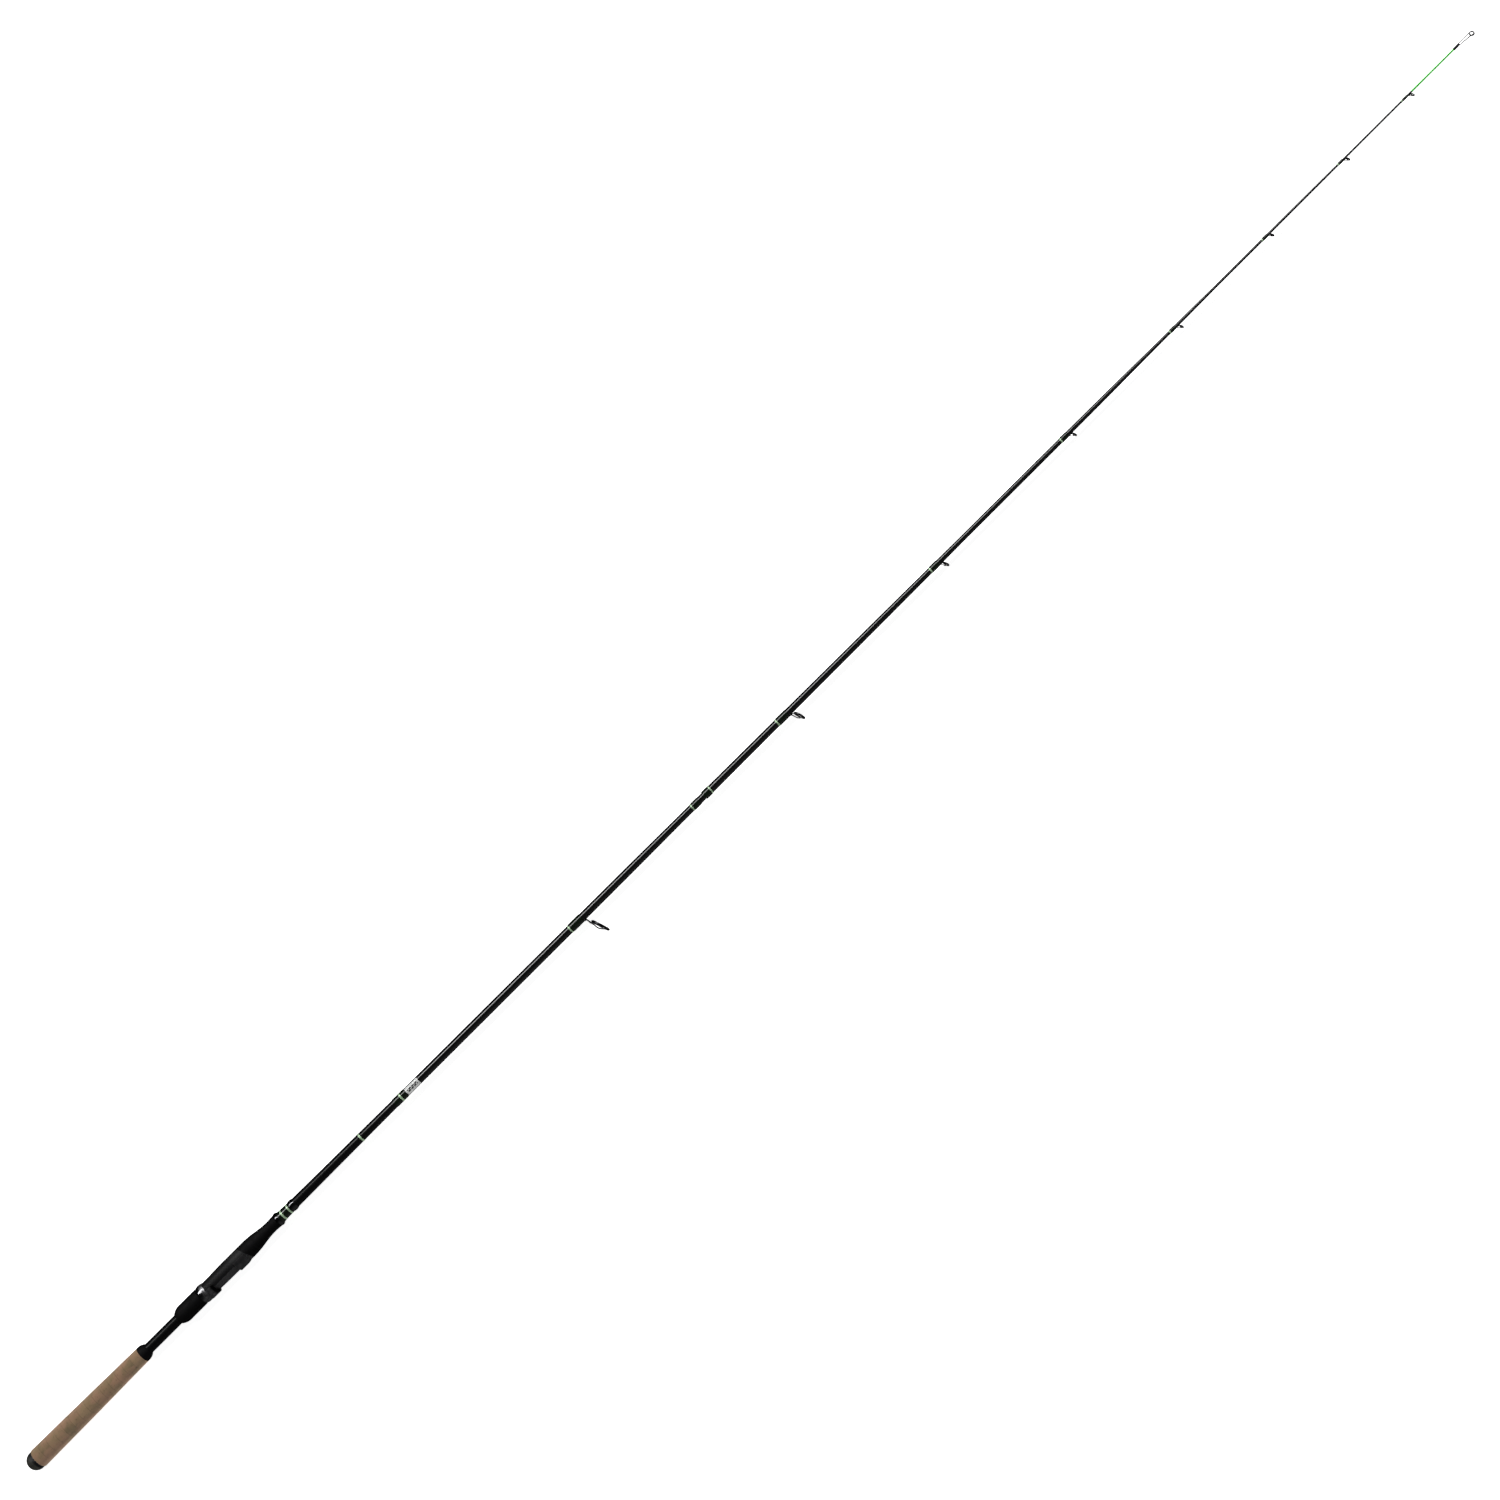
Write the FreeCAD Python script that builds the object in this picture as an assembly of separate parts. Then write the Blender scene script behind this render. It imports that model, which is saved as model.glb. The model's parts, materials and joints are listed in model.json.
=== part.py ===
import FreeCAD, Part
import math
import os

# A two-piece spinning rod, lying along +X with its guides and reel deck facing -Y.
# The origin is the centre of the butt cap's flat end. All sizes are in millimetres.

# ---- driving dimensions: rod, blanks and ferrule ----
TOTAL_LENGTH = 2400.0
FERRULE_X = 1121.5            # mouth of the tip section's socket
FERRULE_DEPTH = 47.0          # how far the butt section's male end goes in
FERRULE_FIT = 0.05            # radial clearance between the male end and the socket
MALE_RADIUS = 4.55            # at the socket's mouth
MALE_END_RADIUS = 4.30
GRIP_BLANK_RADIUS = 6.6       # the blank's parallel stretch under and behind the reel seat
BLANK_START = 6.0
BUTT_WALL = 1.1
# x and outer radius of each section, straight in between
BUTT_STATIONS = [(BLANK_START, GRIP_BLANK_RADIUS), (300.0, GRIP_BLANK_RADIUS), (443.0, 6.2), (500.0, 5.8),
                 (600.0, 5.35), (867.0, 5.2), (1000.0, 5.0), (1078.0, 4.64), (FERRULE_X, MALE_RADIUS),
                 (FERRULE_X + FERRULE_DEPTH, MALE_END_RADIUS)]
SOLID_TIP_X = 2299.0          # where the coloured solid tip leaves the tubular blank
SOLID_TIP_SHANK = 45.0        # its hidden length inside the blank
SOLID_TIP_SHANK_RADIUS = 0.8
TIP_STATIONS = [(FERRULE_X, 5.1), (1207.0, 4.85), (1405.0, 4.25), (1478.0, 3.93), (1555.0, 3.5),
                (1660.0, 3.43), (1743.0, 3.2), (1800.0, 2.95), (1880.0, 2.2), (1925.0, 2.15), (1970.0, 1.75),
                (2075.0, 1.66), (2156.0, 1.47), (2200.0, 1.36), (SOLID_TIP_X, 1.22)]
TIP_BORE_RATIO = 0.62         # inner over outer radius, past the socket
SOCKET_SPARE = 2.0            # socket left over past the male end
SOCKET_STEP_RADIUS = 3.7      # bore just past the socket, narrowing to SOCKET_NECK_RADIUS
SOCKET_NECK_RADIUS = 3.2
SOCKET_NECK_LENGTH = 12.0
SOLID_TIP_STATIONS = [(SOLID_TIP_X, 1.18), (2376.0, 1.05)]

# ---- driving dimensions: grip, seat, hoods and lock nut ----
CAP_LENGTH = 13.0
CAP_RADIUS = 11.8
CAP_FACE_RADIUS = 5.3
CAP_SHOULDER = (3.1, 9.3)     # middle of the shoulder's arc
CAP_SHOULDER_END_X = 10.0
GRIP_END_X = 187.0
GRIP_REAR_RADIUS = 12.6
GRIP_MIDDLE = (95.0, 11.7)    # the taper steepens a little here
GRIP_FRONT_RADIUS = 10.2
GRIP_EDGE = 1.4               # rounding of the grip's rear edge
COLLAR_END_X = 197.0
COLLAR_RIM = 1.5              # parallel part of the collar, against the cork
COLLAR_NOSE = (193.6, 9.1)    # middle of the nose's arc
COLLAR_LIP = 0.4              # thickness left at the nose's end
NUT_START_X = 247.0
NUT_END_X = 284.5
NUT_RADIUS = 11.1
NUT_MOUTH_RADIUS = 7.0        # hole at the rear that the bare blank passes through
NUT_MOUTH_RIM = 0.6
NUT_SHOULDER = (251.6, 10.1)  # middle of the shoulder's arc
NUT_SHOULDER_END_X = 259.5
NUT_CHAMFER = 0.8
NUT_BORE_START_X = 254.0
NUT_BORE_CONE = 1.5
NUT_NECK_RADIUS = 9.95        # neck and lip that snap into the moving hood's ring
NUT_LIP_RADIUS = 10.35
NUT_LIP_START_X = 286.8
NUT_LIP_END_X = 288.2
NUT_NECK_END_X = 289.2
NUT_NECK_FIT = 0.08
THREAD_START_X = 256.0
THREAD_RADIUS = 9.3           # crest of the seat's thread, made as a plain barrel
THREAD_FIT = 0.05
THREAD_CHAMFER = 0.6
HOOD_RING_START_X = 284.8
HOOD_RING_END_X = 295.0
HOOD_RING_RADIUS = 10.7       # at both ends; the crown is rounded
HOOD_RING_CROWN = 11.75
HOOD_GROOVE_START_X = 286.3   # groove that holds the nut's lip
HOOD_GROOVE_END_X = 289.4
HOOD_TONGUE_X = 290.0         # where the tongue starts to rise out of the ring
HOOD_TONGUE_RISE = (291.5, 11.5)
HOOD_LIP_X = 306.0            # mouth of the moving hood
HOOD_RADIUS = 12.2
HOOD_LIP_ROUND = 0.9          # length of the rounding at both hoods' mouths
POCKET_RADIUS = 11.5          # roof of both reel-foot pockets
POCKET_HALF_ANGLE = 45.0
SKIRT_HALF_ANGLE = 68.0
SKIRT_GAP = 0.15
DECK_Y = -7.25                # flat that the reel foot sits on, between the hoods
DECK_MARGIN = 0.3             # how far the flat stops short of each hood
POCKET_FLOOR_Y = -7.05        # relieved floor under both hoods
SEAT_REAR_X = 295.15
SEAT_REAR_RADIUS = 10.4
SEAT_EDGE = 0.3
SEAT_SWELL = (318.0, 10.82)   # middle of the arc that swells from the rear to the full radius
SEAT_SWELL_END_X = 330.0
SEAT_RADIUS = 11.0
FIXED_LIP_X = 340.5           # mouth of the fixed hood
POCKET_END_X = 352.0
FIXED_HOOD_FULL_X = 349.5     # the hood's back slopes down from here
FIXED_HOOD_BACK = (353.5, 12.0)
FIXED_HOOD_END_X = 357.0
SEAM_X = 357.0                # slanted joint between seat and foregrip, on the axis
SEAM_SLOPE = 0.45             # how far the joint leans back towards +Y, per mm
# outline of the foregrip past the full radius; each pair is an arc's middle and end
FOREGRIP_FULL_X = 364.0
FOREGRIP_SHOULDER = ((375.0, 10.3), (384.0, 9.0))
FOREGRIP_END_X = 411.0
FOREGRIP_WAIST_START = (388.0, 8.45)
FOREGRIP_WAIST = ((399.0, 7.6), (FOREGRIP_END_X, 8.2))
KEY_WIDTH = 3.0
KEY_DEPTH = 0.9
KEY_FIT = 0.15

# ---- driving dimensions: rings, wraps, bands and label ----
REAR_CHECK_END_X = 416.0
REAR_CHECK_RADIUS = 8.8
FRONT_CHECK_X = 433.0
FRONT_CHECK_END_X = 441.0
FRONT_CHECK_RADIUS = 7.2
CHECK_ROUNDING = 0.9          # how much lower a check's edges are than its crown
# each piece between the winding checks: start x, start radius, end x, end radius
HANDLE_WRAPS = [(REAR_CHECK_END_X, 7.5, 420.0, 6.85), (422.3, 6.75, 430.0, 6.6),
                (432.0, 6.55, FRONT_CHECK_X, 6.5)]
HANDLE_BANDS = [(420.0, 6.9, 422.3, 6.8), (430.0, 6.65, 432.0, 6.6)]
LABEL_WRAPS = [(607.0, 616.7), (618.9, 624.5)]
LABEL_WRAP_HEIGHT = 0.25
LABEL_START_X = 626.5
LABEL_END_X = 646.5
LABEL_THICKNESS = 0.12
LABEL_HALF_ANGLE = 55.0
LABEL_TURN = 59.0             # degrees from the guides' side to the label's middle
BUTT_FERRULE_WRAP = (1102.8, 1113.2)
TIP_FERRULE_WRAP_END_X = 1131.1
FERRULE_WRAP_HEIGHT = 0.45
TRIM_LENGTH = 1.8             # pale thread band at a wrap's butt end
TRIM_HEIGHT = 0.3
# bands with other sizes: start x, length, height over the blank
BUTT_BANDS = [(549.5, 2.2, 0.2), (616.7, 2.2, 0.35)]
TIP_TRIM_HEIGHT = 0.25

# ---- driving dimensions: guides ----
# name, ring centre x, ring centre distance from the axis, ring outer diameter, thread wrap start and end
GUIDES = [
    ("guide_1", 927.9, 24.8, 24.4, 899.5, 917.7),
    ("guide_2", 1267.8, 13.8, 15.6, 1244.2, 1259.8),
    ("guide_3", 1516.2, 8.4, 9.0, 1499.0, 1511.0),
    ("guide_4", 1731.3, 6.9, 6.6, 1716.0, 1725.2),
    ("guide_5", 1910.6, 5.7, 5.9, 1897.4, 1905.7),
    ("guide_6", 2062.7, 4.7, 5.4, 2051.0, 2059.1),
    ("guide_7", 2189.2, 4.35, 5.4, 2177.5, 2184.6),
    ("guide_8", 2296.7, 4.1, 5.4, 2283.4, 2292.6),
]
GUIDE_LEAN = 20.0             # degrees that each ring leans towards the tip
LEG_JOINT_ANGLE = 72.0        # where a leg meets its ring, from the ring's outer end
LEG_SHOULDER_ANGLE = 112.0
FOOT_RAMP = 5.0               # length over which a foot's butt end is feathered
TIP_TOP_TUBE_X = 2369.0
TIP_TOP_TUBE_END = 2378.5
TIP_TOP_TUBE_RADIUS = 1.65
TIP_TOP_NOSE = (2378.2, 1.35) # middle of the closed end's arc
TIP_TOP_NOSE_RADIUS = 0.9
TIP_TOP_RING_DIAMETER = 7.0
TIP_TOP_LEAN = 40.0           # degrees that its ring leans towards the tip
TIP_TOP_TURN = -28.0          # degrees that it is turned about the tip, out of line with the guides
TIP_TOP_DROP = 2.9            # ring centre below the axis, towards the guides' side
TIP_TOP_LEG = 0.42            # radius of its three legs
TIP_TOP_LEG_ROOT = 4.0        # how far back along the tube the legs are brazed

INSIDE_BLANK = 0.2            # radius, inside every blank, from which wraps and feet are turned
INSIDE_BUTT = 1.0             # the same for what sits on the thick butt
CUT_MARGIN = 1.0              # how far a cutting shape runs past what it cuts

X_AXIS = FreeCAD.Vector(1, 0, 0)
Z_AXIS = FreeCAD.Vector(0, 0, 1)
ORIGIN = FreeCAD.Vector(0, 0, 0)


# ---- general shapes ----

def point(x, y, z=0.0):
    return FreeCAD.Vector(x, y, z)


def radius_at(stations, x):
    """Radius of a tapered blank at x, straight between its stations."""
    for (x0, r0), (x1, r1) in zip(stations, stations[1:]):
        if x <= x1:
            return r0 + (r1 - r0) * (x - x0) / (x1 - x0)
    return stations[-1][1]


def turned(outline):
    """Solid turned about the rod's axis. An entry is a corner (x, r), or the middle and end of an arc."""
    edges = []
    here = point(*outline[0])
    for entry in outline[1:] + [outline[0]]:
        if isinstance(entry[0], tuple):
            end = point(*entry[1])
            edges.append(Part.Arc(here, point(*entry[0]), end).toShape())
        else:
            end = point(*entry)
            edges.append(Part.LineSegment(here, end).toShape())
        here = end
    return Part.Face(Part.Wire(edges)).revolve(ORIGIN, X_AXIS, 360)


def cylinder(x0, x1, radius):
    return Part.makeCylinder(radius, x1 - x0, point(x0, 0), X_AXIS)


def box_between(low, high):
    """Box with its faces along the frame's axes."""
    return Part.makeBox(high.x - low.x, high.y - low.y, high.z - low.z, low)


def wedge(x0, x1, half_angle):
    """Sector of a long cylinder, opening towards -Y by half_angle on each side."""
    reach = 60.0
    side = reach * math.sin(math.radians(half_angle))
    depth = -reach * math.cos(math.radians(half_angle))
    corners = [point(x0, 0), point(x0, depth, side), point(x0, -2 * reach, side)]
    corners += [point(x0, -2 * reach, -side), point(x0, depth, -side), point(x0, 0)]
    return Part.Face(Part.makePolygon(corners)).extrude(point(x1 - x0, 0))


def rod_between(start, end, radius):
    """Round bar with ball ends."""
    bar = Part.makeCylinder(radius, (end - start).Length, start, end - start)
    return bar.fuse([Part.makeSphere(radius, start), Part.makeSphere(radius, end)])


def core(stations):
    """The full, unbored taper of a blank, used to cut what sits on it."""
    return turned([(stations[0][0], 0.0)] + stations + [(stations[-1][0], 0.0)])


BUTT_CORE = core(BUTT_STATIONS)
TIP_CORE = core(TIP_STATIONS)


# ---- blanks ----

def butt_blank():
    bore = [(x, r - BUTT_WALL) for x, r in reversed(BUTT_STATIONS)]
    return turned(BUTT_STATIONS + bore)


def tip_blank():
    socket_end = FERRULE_X + FERRULE_DEPTH + SOCKET_SPARE
    neck_x = socket_end + SOCKET_NECK_LENGTH
    taper = (MALE_END_RADIUS - MALE_RADIUS) / FERRULE_DEPTH
    socket_end_radius = MALE_RADIUS + FERRULE_FIT + taper * (socket_end - FERRULE_X)
    shank_x = SOLID_TIP_X - SOLID_TIP_SHANK
    bore = [(SOLID_TIP_X, SOLID_TIP_SHANK_RADIUS), (shank_x, SOLID_TIP_SHANK_RADIUS)]
    for x, r in reversed(TIP_STATIONS):
        if neck_x < x < shank_x:
            bore.append((x, r * TIP_BORE_RATIO))
    bore += [(neck_x, SOCKET_NECK_RADIUS), (socket_end, SOCKET_STEP_RADIUS), (socket_end, socket_end_radius)]
    bore += [(FERRULE_X, MALE_RADIUS + FERRULE_FIT)]
    return turned(TIP_STATIONS + bore)


def solid_tip():
    shank_x = SOLID_TIP_X - SOLID_TIP_SHANK
    outline = [(shank_x, 0.0), (shank_x, SOLID_TIP_SHANK_RADIUS), (SOLID_TIP_X, SOLID_TIP_SHANK_RADIUS)]
    outline += SOLID_TIP_STATIONS + [(SOLID_TIP_STATIONS[-1][0], 0.0)]
    return turned(outline)


# ---- rear grip ----

def butt_cap():
    """Rubber cap with a flat end, a round shoulder and a socket for the blank."""
    outline = [(0.0, 0.0), (0.0, CAP_FACE_RADIUS), (CAP_SHOULDER, (CAP_SHOULDER_END_X, CAP_RADIUS))]
    outline += [(CAP_LENGTH, CAP_RADIUS), (CAP_LENGTH, GRIP_BLANK_RADIUS)]
    outline += [(BLANK_START, GRIP_BLANK_RADIUS), (BLANK_START, 0.0)]
    return turned(outline)


def rear_grip():
    """Tapered cork grip, bored for the blank."""
    edge = (CAP_LENGTH + 0.3 * GRIP_EDGE, 0.4 * CAP_RADIUS + 0.6 * GRIP_REAR_RADIUS)
    outline = [(CAP_LENGTH, CAP_RADIUS), (edge, (CAP_LENGTH + GRIP_EDGE, GRIP_REAR_RADIUS))]
    outline += [GRIP_MIDDLE, (GRIP_END_X, GRIP_FRONT_RADIUS)]
    outline += [(GRIP_END_X, GRIP_BLANK_RADIUS), (CAP_LENGTH, GRIP_BLANK_RADIUS)]
    return turned(outline)


def grip_collar():
    """Round-nosed black collar that closes the cork's front end."""
    outline = [(GRIP_END_X, GRIP_FRONT_RADIUS), (GRIP_END_X + COLLAR_RIM, GRIP_FRONT_RADIUS)]
    outline += [(COLLAR_NOSE, (COLLAR_END_X, GRIP_BLANK_RADIUS + COLLAR_LIP))]
    outline += [(COLLAR_END_X, GRIP_BLANK_RADIUS), (GRIP_END_X, GRIP_BLANK_RADIUS)]
    return turned(outline)


# ---- reel seat ----

def seam_tool(keep_rear):
    """Big block on one side of the slanted joint between seat and foregrip."""
    reach = 40.0
    lean = SEAM_SLOPE * reach
    far = SEAM_X - 200.0 if keep_rear else SEAM_X + 200.0
    corners = [point(SEAM_X - lean, reach, -reach), point(SEAM_X + lean, -reach, -reach)]
    corners += [point(far, -reach, -reach), point(far, reach, -reach), corners[0]]
    return Part.Face(Part.makePolygon(corners)).extrude(point(0, 0, 2 * reach))


def seat_envelope():
    """Outside of seat and foregrip together, before the slanted joint splits them."""
    outline = [(THREAD_START_X, 0.0), (THREAD_START_X, THREAD_RADIUS - THREAD_CHAMFER)]
    outline += [(THREAD_START_X + THREAD_CHAMFER, THREAD_RADIUS), (SEAT_REAR_X, THREAD_RADIUS)]
    outline += [(SEAT_REAR_X, SEAT_REAR_RADIUS - SEAT_EDGE), (SEAT_REAR_X + SEAT_EDGE, SEAT_REAR_RADIUS)]
    outline += [(HOOD_LIP_X + CUT_MARGIN, SEAT_REAR_RADIUS), (SEAT_SWELL, (SEAT_SWELL_END_X, SEAT_RADIUS))]
    outline += [(FOREGRIP_FULL_X, SEAT_RADIUS), FOREGRIP_SHOULDER]
    outline += [FOREGRIP_WAIST_START, FOREGRIP_WAIST, (FOREGRIP_END_X, 0.0)]
    return turned(outline)


def flat_cut(x0, x1, y):
    """Everything on the guides' side of the plane at y, between x0 and x1."""
    reach = 2 * HOOD_RADIUS
    return box_between(point(x0, y - reach, -reach), point(x1, y, reach))


def reel_seat_body():
    """Barrel for the nut and hood, deck for the reel foot, and a keyway along the back of the barrel."""
    body = seat_envelope().common(seam_tool(True)).cut(BUTT_CORE)
    deck_x0 = HOOD_LIP_X + DECK_MARGIN
    deck_x1 = FIXED_LIP_X - DECK_MARGIN
    body = body.cut(flat_cut(SEAT_REAR_X - THREAD_FIT, deck_x0, POCKET_FLOOR_Y))
    body = body.cut(flat_cut(deck_x0, deck_x1, DECK_Y))
    body = body.cut(flat_cut(deck_x1, POCKET_END_X, POCKET_FLOOR_Y))
    side = KEY_WIDTH / 2 + KEY_FIT
    groove_y = THREAD_RADIUS - KEY_DEPTH - KEY_FIT
    groove_x1 = HOOD_RING_END_X + 0.2
    return body.cut(box_between(point(THREAD_START_X, groove_y, -side), point(groove_x1, 2 * groove_y, side)))


def foregrip():
    return seat_envelope().common(seam_tool(False)).cut(BUTT_CORE)


def mouth_rounding(x, direction):
    """Corner and arc that round a hood's mouth at x; direction is 1 where the hood lies towards the tip."""
    corner = (x, HOOD_RADIUS - 0.5)
    middle = (x + direction * 0.28 * HOOD_LIP_ROUND, HOOD_RADIUS - 0.12)
    return [corner, (middle, (x + direction * HOOD_LIP_ROUND, HOOD_RADIUS))]


def foot_pocket(x0, x1):
    """Space that one end of the reel foot slides into."""
    return cylinder(x0, x1, POCKET_RADIUS).common(wedge(x0, x1, POCKET_HALF_ANGLE))


def fixed_hood():
    """Front hood: a shell on the seat's guide side whose pocket faces the butt."""
    outline = [(FIXED_LIP_X, SEAT_RADIUS)] + mouth_rounding(FIXED_LIP_X, 1)
    outline += [(FIXED_HOOD_FULL_X, HOOD_RADIUS), (FIXED_HOOD_BACK, (FIXED_HOOD_END_X, SEAT_RADIUS + 0.2))]
    outline += [(FIXED_HOOD_END_X, SEAT_RADIUS)]
    start = FIXED_LIP_X - CUT_MARGIN
    shell = turned(outline).common(wedge(start, FIXED_HOOD_END_X + CUT_MARGIN, SKIRT_HALF_ANGLE))
    return shell.cut(foot_pocket(start, POCKET_END_X))


def moving_hood():
    """Rear hood: a keyed ring on the seat's barrel with a tongue over the reel foot."""
    barrel = THREAD_RADIUS + THREAD_FIT
    neck = NUT_NECK_RADIUS + NUT_NECK_FIT
    groove = NUT_LIP_RADIUS + NUT_NECK_FIT
    crown_x = (HOOD_RING_START_X + HOOD_RING_END_X) / 2
    outline = [(HOOD_RING_START_X, neck), (HOOD_RING_START_X, HOOD_RING_RADIUS)]
    outline += [((crown_x, HOOD_RING_CROWN), (HOOD_RING_END_X, HOOD_RING_RADIUS))]
    outline += [(HOOD_RING_END_X, barrel), (HOOD_GROOVE_END_X, barrel), (HOOD_GROOVE_END_X, groove)]
    outline += [(HOOD_GROOVE_START_X, groove), (HOOD_GROOVE_START_X, neck)]
    ring = turned(outline)
    key_low = point(HOOD_GROOVE_END_X, THREAD_RADIUS - KEY_DEPTH, -KEY_WIDTH / 2)
    key = box_between(key_low, point(HOOD_RING_END_X, THREAD_RADIUS + 0.6, KEY_WIDTH / 2))
    skirt = SEAT_REAR_RADIUS + SKIRT_GAP
    outline = [(HOOD_TONGUE_X, skirt), (HOOD_TONGUE_RISE, (HOOD_RING_END_X, HOOD_RADIUS))]
    corner, (middle, rounded) = mouth_rounding(HOOD_LIP_X, -1)
    outline += [rounded, (middle, corner), (HOOD_LIP_X, skirt)]
    end = HOOD_LIP_X + CUT_MARGIN
    tongue = turned(outline).common(wedge(HOOD_TONGUE_X - CUT_MARGIN, end, SKIRT_HALF_ANGLE))
    tongue = tongue.cut(foot_pocket(HOOD_RING_END_X, end))
    return ring.fuse([key, tongue]).removeSplitter()


def lock_nut():
    """Round-shouldered nut; its neck snaps into the moving hood's ring and turns there."""
    bore = THREAD_RADIUS + THREAD_FIT
    outline = [(NUT_START_X, NUT_MOUTH_RADIUS), (NUT_START_X, NUT_MOUTH_RADIUS + NUT_MOUTH_RIM)]
    outline += [(NUT_SHOULDER, (NUT_SHOULDER_END_X, NUT_RADIUS)), (NUT_END_X - NUT_CHAMFER, NUT_RADIUS)]
    outline += [(NUT_END_X, NUT_RADIUS - NUT_CHAMFER), (NUT_END_X, NUT_NECK_RADIUS)]
    outline += [(NUT_LIP_START_X - 0.3, NUT_NECK_RADIUS), (NUT_LIP_START_X, NUT_LIP_RADIUS)]
    outline += [(NUT_LIP_END_X, NUT_LIP_RADIUS), (NUT_NECK_END_X, NUT_NECK_RADIUS), (NUT_NECK_END_X, bore)]
    outline += [(NUT_BORE_START_X, bore), (NUT_BORE_START_X - NUT_BORE_CONE, NUT_MOUTH_RADIUS)]
    return turned(outline)


# ---- rings, wraps and label in front of the foregrip ----

def winding_check(x0, x1, outer):
    """Polished ring with a rounded outside, seated on the butt blank."""
    crown = ((x0 + x1) / 2, outer)
    low = outer - CHECK_ROUNDING
    ring = turned([(x0, INSIDE_BUTT), (x0, low), (crown, (x1, low)), (x1, INSIDE_BUTT)])
    return ring.cut(BUTT_CORE)


def wrap_on(stations, blank, x0, x1, thickness):
    """Thread wrap: a sleeve on the blank whose ends slope down."""
    slope = 0.8
    edge = 0.4 * thickness
    first = radius_at(stations, x0)
    last = radius_at(stations, x1)
    outline = [(x0, INSIDE_BLANK), (x0, first + edge), (x0 + slope, first + thickness)]
    outline += [(x1 - slope, last + thickness), (x1, last + edge), (x1, INSIDE_BLANK)]
    return turned(outline).cut(blank)


def band_on(stations, blank, x0, x1, thickness):
    """Plain thread band."""
    first = radius_at(stations, x0) + thickness
    last = radius_at(stations, x1) + thickness
    return turned([(x0, INSIDE_BLANK), (x0, first), (x1, last), (x1, INSIDE_BLANK)]).cut(blank)


def handle_sleeves(spans):
    """Sleeves between the winding checks, each with its own two end radii."""
    sleeves = []
    for x0, r0, x1, r1 in spans:
        sleeve = turned([(x0, INSIDE_BUTT), (x0, r0), (x1, r1), (x1, INSIDE_BUTT)])
        sleeves.append(sleeve.cut(BUTT_CORE))
    return sleeves


def handle_wrap():
    """Dark wrap between the two winding checks, split by the pale bands."""
    return Part.makeCompound(handle_sleeves(HANDLE_WRAPS))


def butt_trim_bands():
    """Pale bands of the butt section: two in the handle, mid-blank, label, first guide and ferrule."""
    stripper_wrap_x = GUIDES[0][4]
    spans = BUTT_BANDS + [(stripper_wrap_x - TRIM_LENGTH, TRIM_LENGTH, TRIM_HEIGHT)]
    spans.append((BUTT_FERRULE_WRAP[0] - TRIM_LENGTH, TRIM_LENGTH, TRIM_HEIGHT))
    bands = [band_on(BUTT_STATIONS, BUTT_CORE, x, x + length, height) for x, length, height in spans]
    return Part.makeCompound(handle_sleeves(HANDLE_BANDS) + bands)


def label_wrap():
    """Short dark wrap on each side of the pale band behind the label."""
    wraps = [wrap_on(BUTT_STATIONS, BUTT_CORE, x0, x1, LABEL_WRAP_HEIGHT) for x0, x1 in LABEL_WRAPS]
    return Part.makeCompound(wraps)


def label():
    """Thin blank label that covers part of the blank's side, between the guides and the top."""
    skin = band_on(BUTT_STATIONS, BUTT_CORE, LABEL_START_X, LABEL_END_X, LABEL_THICKNESS)
    skin = skin.common(wedge(LABEL_START_X, LABEL_END_X, LABEL_HALF_ANGLE))
    skin.rotate(ORIGIN, X_AXIS, -LABEL_TURN)
    return skin


def tip_trim_bands():
    """Pale bands of the tip section: one in front of the ferrule wrap, one behind each guide's wrap."""
    starts = [TIP_FERRULE_WRAP_END_X] + [guide[4] - TRIM_LENGTH for guide in GUIDES[1:]]
    bands = [band_on(TIP_STATIONS, TIP_CORE, x, x + TRIM_LENGTH, TIP_TRIM_HEIGHT) for x in starts]
    return Part.makeCompound(bands)


# ---- guides ----

def on_ring(shape, x, distance, lean=GUIDE_LEAN):
    """Move a shape made about the X axis to a ring's centre, leaning towards the tip."""
    shape.rotate(ORIGIN, Z_AXIS, lean)
    shape.translate(point(x, -distance))
    return shape


def ring_point(x, distance, around, radius, back=0.0, lean=GUIDE_LEAN):
    """Point on a leaning ring; around is 0 at its outer end and 180 by the blank, back is to the butt."""
    outward = radius * math.cos(math.radians(around))
    side = radius * math.sin(math.radians(around))
    lean = math.radians(lean)
    along = outward * math.sin(lean) - back * math.cos(lean)
    across = outward * math.cos(lean) + back * math.sin(lean)
    return point(x + along, -distance - across, side)


def ring_sizes(diameter):
    """Wall of the metal ring, wall of the insert, and their lengths along the ring's axis."""
    metal = 0.45 + 0.022 * diameter
    ceramic = 0.45 + 0.045 * diameter
    return metal, ceramic, 1.1 + 0.03 * diameter, 1.5 + 0.05 * diameter


def metal_ring(diameter):
    metal, _, length, _ = ring_sizes(diameter)
    outer = diameter / 2
    inner = outer - metal
    crown = outer - metal * 0.35
    half = length / 2
    return turned([(-half, inner), (-half, crown), ((0.0, outer), (half, crown)), (half, inner)])


def ceramic_ring(diameter):
    metal, ceramic, _, length = ring_sizes(diameter)
    outer = diameter / 2 - metal
    inner = outer - ceramic
    half = length / 2
    lip = outer - ceramic * 0.2
    return turned([(-half, outer), (half, outer), (half, lip), ((0.0, inner), (-half, lip))])


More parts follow.
